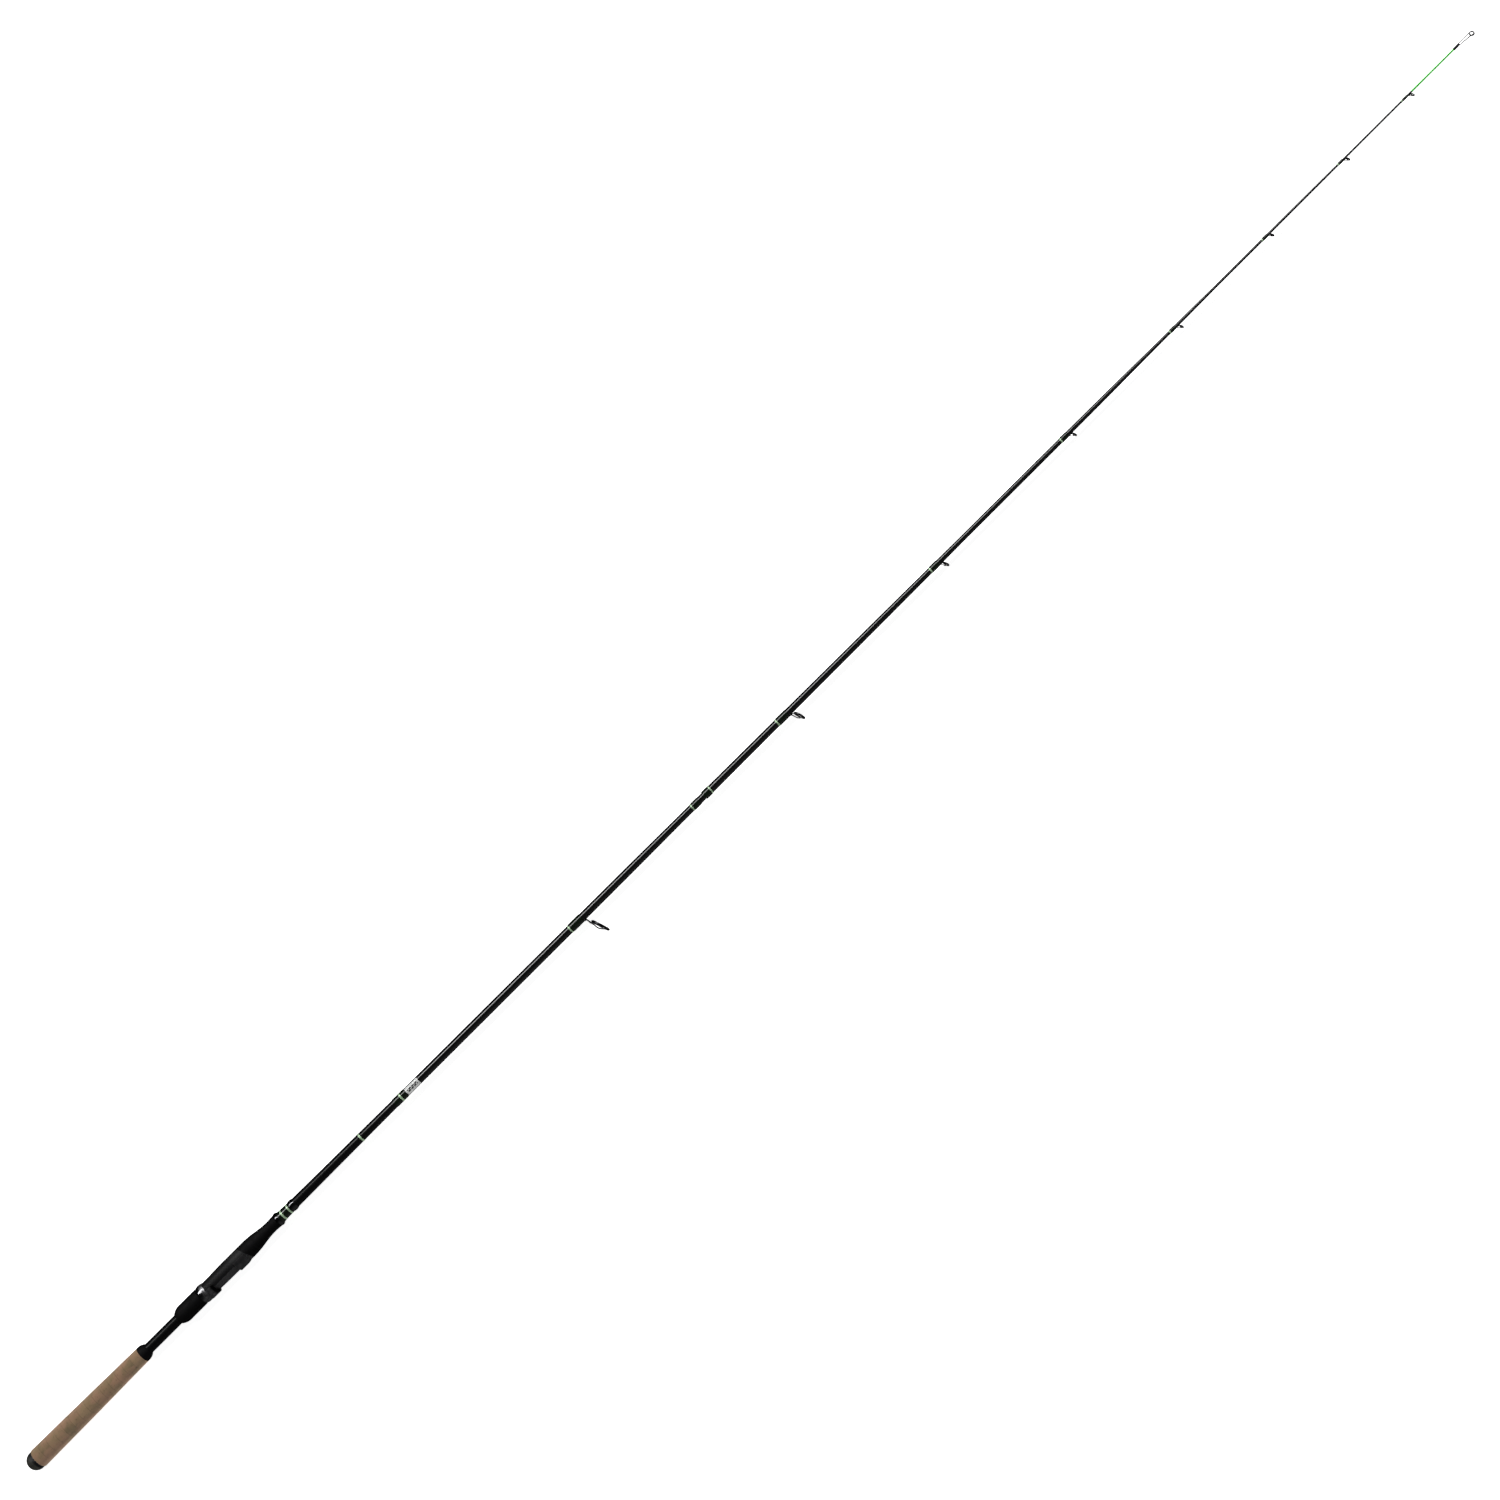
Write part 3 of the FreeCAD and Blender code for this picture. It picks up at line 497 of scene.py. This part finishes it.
def graphite_weave():
    """Moulded seat: twill cloth under satin lacquer, plain and paler at its front, with painted light making
    its deck side paler.
    """
    made = Surface("seat_graphite", Specular_IOR_Level=0.15)
    x, turn = made.around()
    tow = 2.2 * MM
    seat_radius = 10.6 * MM
    across = made.math("MULTIPLY", turn, seat_radius)
    diagonal = stripes(made, made.math("ADD", x, across), tow * 2)
    counter = stripes(made, made.math("SUBTRACT", x, across), tow * 2)
    over = made.math("GREATER_THAN", diagonal, 0.5)
    cloth = made.mix(over, counter, diagonal)
    fibres = made.noise(made.scaled(1500, 1500, 1500), 1.0, 2.0)
    tone = made.mix(0.35, cloth, fibres)
    cloth_tone = made.ramp(tone, [(0.2, (0.0014, 0.0014, 0.0015)), (0.8, (0.0062, 0.0062, 0.0065))])
    # The plain front end fades in from 334 to 346 mm. The deck side, 7 mm or more off the axis on the guide
    # side, is painted paler: painted light from the reflector on that side.
    front = made.ramp(made.math("MULTIPLY", x, 2.5), [(0.835, 0.0), (0.865, 1.0)])
    _, y, _ = made.axes()
    painted_light_side = made.ramp(made.math("MULTIPLY", y, -100.0), [(0.70, 0.0), (0.71, 1.0)])
    plain = made.mix(front, cloth_tone, (0.014, 0.014, 0.0145))
    # Paler cloth colour for the deck side, which is painted light.
    painted_light_side_tone = made.ramp(tone, [(0.2, (0.012, 0.012, 0.0125)), (0.8, (0.026, 0.026, 0.027))])
    made.colour(made.mix(painted_light_side, plain, painted_light_side_tone))
    made.roughness(made.ramp(tone, [(0.2, 0.62), (0.8, 0.5)]))
    made.bump(cloth, 0.03 * MM, 0.5)
    return made.material


def brushed_metal(name, dark, light, low_rough, high_rough, **values):
    """Coated metal with turning marks around the rod and a few soft smudges."""
    made = Surface(name, Metallic=1.0, **values)
    marks = made.noise(made.scaled(9000, 300, 300), 1.0, 2.0)
    smudges = made.noise(made.place, 260, 3.0)
    made.colour(made.ramp(smudges, [(0.3, dark), (0.7, light)]))
    made.roughness(made.ramp(marks, [(0.3, low_rough), (0.7, high_rough)]))
    made.bump(marks, 0.004 * MM, 0.5)
    return made.material


def hood_metal():
    """Moving hood: polished ring, finely blasted tongue and a dark rubbery lip at its end."""
    made = Surface("hood_metal", Metallic=1.0)
    x, _, _ = made.axes()
    along = made.math("MULTIPLY", x, 2.5)
    blast = made.noise(made.place, 1500, 3.0)
    smudges = made.noise(made.place, 320, 4.0)
    grey = made.ramp(smudges, [(0.35, (0.10, 0.10, 0.105)), (0.65, (0.34, 0.34, 0.35))])
    # The ring ends between 289 and 292 mm along the rod, and the lip starts between 301 and 303 mm.
    lip = made.ramp(along, [(0.752, 0.0), (0.757, 1.0)])
    made.colour(made.mix(lip, grey, (0.012, 0.012, 0.013)))
    ring = made.ramp(along, [(0.722, 0.0), (0.729, 1.0)])
    made.roughness(made.mix(ring, (0.13, 0.13, 0.13), (0.42, 0.42, 0.42)))
    made.bump(made.mix(ring, (0.5, 0.5, 0.5), blast), 0.03 * MM, 0.6)
    return made.material


def wound_thread(name, dark, light, pitch, metallic=0.0):
    """Fine thread wound round the rod, seen through a coat of clear epoxy."""
    made = Surface(name, Coat_Weight=1.0, Coat_Roughness=0.05, Metallic=metallic, Specular_IOR_Level=0.1)
    x, turn = made.around()
    helix = made.math("ADD", x, made.math("MULTIPLY", turn, pitch / (2 * math.pi)))
    strands = stripes(made, helix, pitch)
    uneven = made.noise(made.scaled(2500, 260, 260), 1.0, 2.0)
    tone = made.mix(0.45, strands, uneven)
    made.colour(made.ramp(tone, [(0.25, dark), (0.75, light)]))
    made.roughness(made.ramp(uneven, [(0.3, 0.35), (0.7, 0.6)]))
    made.bump(strands, 0.02 * MM, 0.7)
    return made.material


def printed_label(box):
    """White label with two rows of plain grey bars along its middle, under clear coat."""
    made = Surface("label_white", Coat_Weight=0.6, Coat_Roughness=0.12)
    low, high = box
    x, turn = made.around()
    along = made.math("DIVIDE", made.math("SUBTRACT", x, low.x), high.x - low.x)
    across = made.math("ABSOLUTE", made.math("SUBTRACT", turn, LABEL_MIDDLE))
    in_row = made.math("LESS_THAN", made.math("ABSOLUTE", made.math("SUBTRACT", across, 0.195)), 0.165)
    side = made.math("GREATER_THAN", turn, LABEL_MIDDLE)
    shift = made.math("MULTIPLY", side, 0.4)
    blocks = made.math("FRACT", made.math("ADD", made.math("MULTIPLY", along, 4.3), shift))
    in_block = made.math("LESS_THAN", blocks, 0.74)
    margin = made.math("LESS_THAN", made.math("ABSOLUTE", made.math("SUBTRACT", along, 0.5)), 0.4)
    bars = made.math("MULTIPLY", made.math("MULTIPLY", in_row, in_block), margin)
    fibres = made.noise(made.place, 900, 3.0)
    paper = made.ramp(fibres, [(0.3, (0.55, 0.56, 0.55)), (0.7, (0.66, 0.67, 0.66))])
    made.colour(made.mix(bars, paper, (0.03, 0.03, 0.032)))
    made.roughness(made.ramp(bars, [(0.0, 0.42), (1.0, 0.3)]))
    return made.material


# ---- stage ----

def floor():
    """Plain pale floor under the rod. Reflections and bounce come from the studio instead of the floor."""
    low = CAD_BOX[0].z
    mesh = bpy.data.meshes.new("floor")
    corners = [(x * FLOOR_REACH, y * FLOOR_REACH, low) for x, y in ((-1, -1), (1, -1), (1, 1), (-1, 1))]
    mesh.from_pydata(corners, [], [(0, 1, 2, 3)])
    made = bpy.data.objects.new("floor", mesh)
    bpy.context.scene.collection.objects.link(made)
    paper = Surface("floor_paper", Roughness=0.9, Specular_IOR_Level=0.1, Emission_Strength=1.09)
    tone = paper.ramp(paper.noise(paper.place, 3.0), [(0.0, 0.86), (1.0, 0.90)])
    paper.colour(tone)
    paper.join(tone, paper.shader.inputs["Emission Color"])
    mesh.materials.append(paper.material)
    made.visible_glossy = False
    made.visible_shadow = False


def strip_light(name, direction, distance, length, width, power):
    """Long soft box parallel to the rod, facing it."""
    away = Vector(direction).normalized()
    across = away.cross(Vector((1, 0, 0)))
    light = bpy.data.lights.new(name, "AREA")
    light.shape = "RECTANGLE"
    light.size = length
    light.size_y = width
    light.energy = power
    made = bpy.data.objects.new(name, light)
    bpy.context.scene.collection.objects.link(made)
    axes = Matrix((Vector((1, 0, 0)), across, away)).transposed().to_4x4()
    made.matrix_world = Matrix.Translation(Vector((ROD_MIDDLE, 0, 0)) + away * distance) @ axes
    made.visible_camera = False


def studio_world():
    """White backdrop for the camera, and a dim room with one broad soft reflector for everything else."""
    world = bpy.data.worlds.new("studio")
    bpy.context.scene.world = world
    world.use_nodes = True
    tree = world.node_tree
    tree.nodes.clear()
    place = new_node(tree, "ShaderNodeTexCoord")
    facing = new_node(tree, "ShaderNodeVectorMath", operation="DOT_PRODUCT")
    facing.inputs[1].default_value = Vector(REFLECTOR_DIRECTION).normalized()
    tree.links.new(place.outputs["Generated"], facing.inputs[0])
    value = facing.outputs["Value"]
    steps = [("MAXIMUM", 0.0), ("POWER", 2.0), ("MULTIPLY", REFLECTOR_LEVEL), ("ADD", ROOM_LEVEL)]
    for operation, second in steps:
        node = new_node(tree, "ShaderNodeMath", operation=operation)
        tree.links.new(value, node.inputs[0])
        node.inputs[1].default_value = second
        value = node.outputs[0]
    room = new_node(tree, "ShaderNodeBackground")
    tree.links.new(value, room.inputs["Strength"])
    backdrop = new_node(tree, "ShaderNodeBackground")
    backdrop.inputs["Color"].default_value = (1, 1, 1, 1)
    room.inputs["Color"].default_value = (1, 1, 1, 1)
    path = new_node(tree, "ShaderNodeLightPath")
    mix = new_node(tree, "ShaderNodeMixShader")
    tree.links.new(path.outputs["Is Camera Ray"], mix.inputs[0])
    tree.links.new(room.outputs[0], mix.inputs[1])
    tree.links.new(backdrop.outputs[0], mix.inputs[2])
    tree.links.new(mix.outputs[0], new_node(tree, "ShaderNodeOutputWorld").inputs["Surface"])


def camera():
    """Looks down from the guides' side, with the rod on the picture's rising diagonal."""
    back = Vector((0, -math.cos(CAMERA_ELEVATION), math.sin(CAMERA_ELEVATION)))
    along = Vector((1, 0, 0))
    guides_side = along.cross(back)
    right = along * math.cos(ROD_TILT) + guides_side * math.sin(ROD_TILT)
    up = back.cross(right)
    data = bpy.data.cameras.new("camera")
    data.lens = CAMERA_LENS
    made = bpy.data.objects.new("camera", data)
    bpy.context.scene.collection.objects.link(made)
    made.matrix_world = (Matrix.Translation(along * CAMERA_TARGET_X + back * CAMERA_DISTANCE)
                         @ Matrix((right, up, back)).transposed().to_4x4())
    bpy.context.scene.camera = made


# ---- guides ----

def ring_matrix(centre, lean=GUIDE_LEAN, twist=0.0):
    """Places a ring made about the X axis at its centre, leaning towards the tip and turned about the rod."""
    return Matrix.Translation(centre) @ Matrix.Rotation(twist, 4, "X") @ Matrix.Rotation(lean, 4, "Z")


def on_ring(matrix, around, radius, back=0.0):
    """Point on a leaning ring; around is 0 at its outer end, back is towards the butt."""
    return matrix @ Vector((-back, -radius * math.cos(around), radius * math.sin(around)))


def ring_sizes(node):
    """Centre, outer diameter, metal wall and insert wall of a guide's ring.

    The diameter comes from the width of the insert's box, which is the ring without its metal wall. The
    tip-top's box is turned, so its diameter is given.
    """
    low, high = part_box(node)
    insert = high.z - low.z
    diameter = TIP_TOP_DIAMETER if node == "tip_top_ring" else (insert + 0.9 * MM) / (1 - 0.044)
    return (low + high) / 2, diameter, 0.45 * MM + 0.022 * diameter, 0.45 * MM + 0.045 * diameter


def add_metal_ring(bm, matrix, diameter, metal):
    """Adds the metal ring that holds an insert, with a rounded outside."""
    half = (1.1 * MM + 0.03 * diameter) / 2
    outer = diameter / 2 - 0.05 * MM
    inner = diameter / 2 - metal
    crown = outer - metal * 0.35
    steps = 8
    outline = [(-half, inner)]
    for step in range(steps + 1):
        turn = math.pi * step / steps
        outline.append((-half * math.cos(turn), crown + (outer - crown) * math.sin(turn)))
    outline.append((half, inner))
    add_turned(bm, outline, RING_SEGMENTS, matrix)


def insert_ring(node, surface, lean=GUIDE_LEAN, twist=0.0):
    """Polished insert with a rounded inside and thin lips."""
    centre, diameter, metal, ceramic = ring_sizes(node)
    half = (1.5 * MM + 0.05 * diameter) / 2
    outer = diameter / 2 - metal
    steps = 12
    outline = [(-half * 0.92, outer), (half * 0.92, outer)]
    for step in range(steps + 1):
        turn = math.pi * step / steps
        outline.append((half * math.cos(turn), outer - ceramic * (0.2 + 0.8 * math.sin(turn))))
    bm = bmesh.new()
    add_turned(bm, outline, RING_SEGMENTS, ring_matrix(centre, lean, twist))
    return stand_for(as_object(bm, node + "_finish"), node, surface)


def add_foot(bm, blank, x0, x1, width, height):
    """Curved plate on the blank's guide side, feathered towards the butt."""
    rows = 24
    columns = 12
    grid = []
    for layer in (0, 1):
        sheet = []
        for row in range(rows + 1):
            x = x0 + (x1 - x0) * row / rows
            radius = radius_at(blank, x)
            ramp = min(1.0, (x - x0) / (5 * MM))
            half = width / 2 * (0.45 + 0.55 * math.sin(ramp * math.pi / 2))
            rise = height * (0.15 + 0.85 * ramp)
            line = []
            for column in range(columns + 1):
                share = 2 * column / columns - 1
                turn = share * half / radius
                edge = 1 - share ** 6
                reach = radius - 0.05 * MM if layer == 0 else radius + rise * (0.35 + 0.65 * edge)
                line.append(bm.verts.new((x, -reach * math.cos(turn), reach * math.sin(turn))))
            sheet.append(line)
        grid.append(sheet)
    add_shell(bm, *grid)


def guide_frame(name, blank, surface):
    """Foot, two bent wire legs and the metal ring of a guide.

    The legs are a little thicker than the CAD's bars at the foot, and thinner at the ring.
    """
    centre, diameter, metal, _ = ring_sizes(name + "_ring")
    leg = 0.32 * MM + 0.025 * diameter
    wrap_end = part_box(name + "_wrap")[1].x
    foot_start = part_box(name + "_wrap")[0].x + 1.0 * MM
    foot_end = wrap_end + 1.2 * MM + 0.05 * diameter
    radius = radius_at(blank, wrap_end)
    height = 0.3 * MM + 0.006 * diameter
    width = min(1.2 * radius, 1.4 * MM + 0.12 * diameter)
    bm = bmesh.new()
    matrix = ring_matrix(centre)
    add_metal_ring(bm, matrix, diameter, metal)
    add_foot(bm, blank, foot_start, foot_end, width, height)
    middle = diameter / 2 - metal / 2
    for side in (-1, 1):
        root = Vector((foot_end - 2.2 * leg, -radius - height * 0.4, side * (width / 2 - leg)))
        knee = Vector((foot_end + 0.1 * MM, -radius - height - leg * 0.7, side * (width / 2 - leg * 0.3)))
        shoulder = on_ring(matrix, side * LEG_SHOULDER, diameter / 2 + leg * 0.3)
        shoulder.x -= diameter * 0.13
        joint = on_ring(matrix, side * LEG_JOINT, middle)
        bow = (knee + shoulder) / 2 + Vector((0, 0, side * diameter * 0.035))
        path = curve_through([root, knee, bow, shoulder, joint])
        radii = [leg * (1.0 - 0.2 * step / (len(path) - 1)) for step in range(len(path))]
        add_swept(bm, path, radii)
    stand_for(as_object(bm, name + "_frame_finish"), name + "_frame", surface)


def tip_top_frame(surface):
    """Tube over the solid tip, the metal ring, and three legs a little thicker than the CAD's."""
    node = "tip_top_frame"
    centre, diameter, metal, _ = ring_sizes("tip_top_ring")
    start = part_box(node)[0].x
    end = start + 9.5 * MM
    tube = 1.65 * MM
    bore = 1.05 * MM
    leg = 0.50 * MM
    outline = [(start, bore), (start, tube), (end - 1.2 * MM, tube), (end - 0.5 * MM, tube * 0.86)]
    outline += [(end - 0.1 * MM, tube * 0.62), (end, tube * 0.3), (end, 0)]
    bm = bmesh.new()
    add_turned(bm, [(end - 2.5 * MM, 0), (end - 2.5 * MM, bore)] + rounded(outline, 0.3 * MM), 48)
    matrix = ring_matrix(centre, TIP_TOP_LEAN, TIP_TOP_TURN)
    turned = Matrix.Rotation(TIP_TOP_TURN, 4, "X")
    add_metal_ring(bm, matrix, diameter, metal)
    root_x = end - 4 * MM
    middle = diameter / 2 - metal / 2
    for side in (-1, 1):
        root = turned @ Vector((root_x, 0.35 * MM, side * 1.2 * MM))
        joint = on_ring(matrix, side * TIP_TOP_LEG_JOINT, middle)
        bow = (root + joint) / 2 + turned @ Vector((0, 0, side * 0.12 * MM))
        path = curve_through([root, bow, joint])
        add_swept(bm, path, [leg] * len(path))
    root = turned @ Vector((root_x, -1.2 * MM, 0))
    joint = on_ring(matrix, 0, diameter / 2 - 0.2 * MM, 0.33 * MM)
    path = curve_through([root, (root + joint) / 2 + turned @ Vector((0, -0.12 * MM, 0)), joint])
    add_swept(bm, path, [leg] * len(path))
    return stand_for(as_object(bm, node + "_finish"), node, surface)


# ---- pieces ----

def cork_grip(surface, ring_length):
    """Cork grip with shallow glue lines and pits in its surface, all cut inwards."""
    node = "rear_grip"
    piece = turned_piece(node, surface, 1.0 * MM, segments=96, longest=1.0 * MM)
    low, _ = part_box(node)
    for vertex in piece.data.vertices:
        place = vertex.co
        radius = math.hypot(place.y, place.z)
        if radius < CORK_BORE:
            continue
        pit = max(0.0, noise.noise(place * 420) - 0.25) * CORK_PIT_DEPTH
        wander = (noise.noise(place * 60) + 1) * 0.035 * MM
        ring = (place.x - low.x) / ring_length
        seam = max(0.0, 1 - abs(ring - round(ring)) * ring_length / GLUE_LINE_REACH) * GLUE_LINE_DEPTH
        shrink = 1 - (pit + wander + seam) / radius
        vertex.co = (place.x, place.y * shrink, place.z * shrink)


def label_patch(surface):
    """Thin curved label, which tapers a little with the blank."""
    node = "label"
    mesh = NODES[node].data
    low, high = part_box(node)
    radii = [math.hypot(v.co.y, v.co.z) for v in mesh.vertices]
    turns = [math.atan2(v.co.z, -v.co.y) for v in mesh.vertices]
    inner, outer = min(radii), max(radii)
    first, last = min(turns), max(turns)
    rows = 24
    columns = 24
    taper = 0.004
    bm = bmesh.new()
    sheets = []
    for radius in (inner - 0.05 * MM, outer):
        sheet = []
        for row in range(rows + 1):
            along = row / rows
            line = []
            for column in range(columns + 1):
                across = column / columns
                turn = first + (last - first) * across
                here = radius * (1 - taper * along)
                x = low.x + (high.x - low.x) * along
                line.append(bm.verts.new((x, -here * math.cos(turn), here * math.sin(turn))))
            sheet.append(line)
        sheets.append(sheet)
    add_shell(bm, *sheets)
    stand_for(as_object(bm, node + "_finish"), node, surface)


def dress(node, surface):
    """Gives a CAD node that keeps its own shape a material, and softens its edges."""
    made = NODES[node]
    made.data.materials.clear()
    made.data.materials.append(surface)
    soften = made.modifiers.new("soft_edges", "BEVEL")
    soften.width = SOFT_EDGE
    soften.segments = 2
    soften.limit_method = "ANGLE"
    soften.angle_limit = SOFT_EDGE_ANGLE
    soften.use_clamp_overlap = True


def build():
    """Makes every piece: materials first, then the handle, the blanks' dressing and the guides."""
    grip_low, grip_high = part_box("rear_grip")
    ring_length = (grip_high.x - grip_low.x) / CORK_RINGS
    carbon = carbon_blank()
    soft = moulded("soft_black", dark=(0.0008, 0.0008, 0.0009), light=(0.0022, 0.0022, 0.0024),
                   low_rough=0.6, high_rough=0.75, grain=3200, depth=0.03 * MM, Specular_IOR_Level=0.1)
    gunmetal = brushed_metal("gunmetal", (0.10, 0.10, 0.105), (0.17, 0.17, 0.175), 0.3, 0.45)
    anodised = brushed_metal("black_anodised", (0.05, 0.05, 0.053), (0.09, 0.09, 0.095), 0.12, 0.2,
                             Coat_Weight=0.6, Coat_Roughness=0.05)
    frames = brushed_metal("guide_frame", (0.02, 0.02, 0.022), (0.045, 0.045, 0.048), 0.2, 0.32)
    ceramic = moulded("guide_ceramic", dark=(0.006, 0.006, 0.007), light=(0.014, 0.014, 0.016), low_rough=0.1,
                      high_rough=0.2, grain=1800, depth=0.004 * MM, Coat_Weight=1.0, Coat_Roughness=0.03)
    dark = wound_thread("dark_thread", (0.0004, 0.0011, 0.0004), (0.0018, 0.0085, 0.0018), 0.2 * MM)
    pale = wound_thread("pale_thread", (0.22, 0.36, 0.20), (0.55, 0.72, 0.50), 0.2 * MM, metallic=0.35)

    for node in ("butt_blank", "tip_blank"):
        turned_piece(node, carbon, 6 * MM, segments=72)
    turned_piece("solid_tip", green_tip(), 0.1 * MM, segments=40)
    turned_piece("butt_cap", cap_rubber(), 0.5 * MM, segments=96)
    cork_grip(cork(grip_low.x, ring_length), ring_length)
    turned_piece("grip_collar", soft, 0.4 * MM, segments=96)
    turned_piece("lock_nut", soft, 0.4 * MM, segments=96)
    for node in ("rear_winding_check", "front_winding_check"):
        turned_piece(node, anodised, 0.3 * MM, segments=96)
    for node in ("handle_wrap", "label_wrap", "butt_ferrule_wrap", "tip_ferrule_wrap"):
        turned_piece(node, dark, 0.45 * MM, segments=72)
    for node in ("butt_trim_bands", "tip_trim_bands"):
        turned_piece(node, pale, 0.25 * MM, segments=72)
    label_patch(printed_label(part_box("label")))
    dress("reel_seat_body", graphite_weave())
    dress("foregrip", soft)
    dress("fixed_hood", gunmetal)
    dress("moving_hood", hood_metal())

    blanks = {}
    for node in ("butt_blank", "tip_blank"):
        low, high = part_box(node)
        blanks[BODY_OF[node]] = outline_of(node, 1, low.x, high.x)
    for name in GUIDE_NODES:
        guide_frame(name, blanks[BODY_OF[name + "_frame"]], frames)
        insert_ring(name + "_ring", ceramic)
        turned_piece(name + "_wrap", dark, 0.45 * MM, segments=72)
    tip_top_frame(frames)
    insert_ring("tip_top_ring", ceramic, TIP_TOP_LEAN, TIP_TOP_TURN)


bpy.context.scene.view_settings.view_transform = "Standard"
camera()
studio_world()
floor()
strip_light("key_strip", direction=(0, 0.40, 0.917), distance=1.8, length=5.0, width=0.38, power=70)
build()
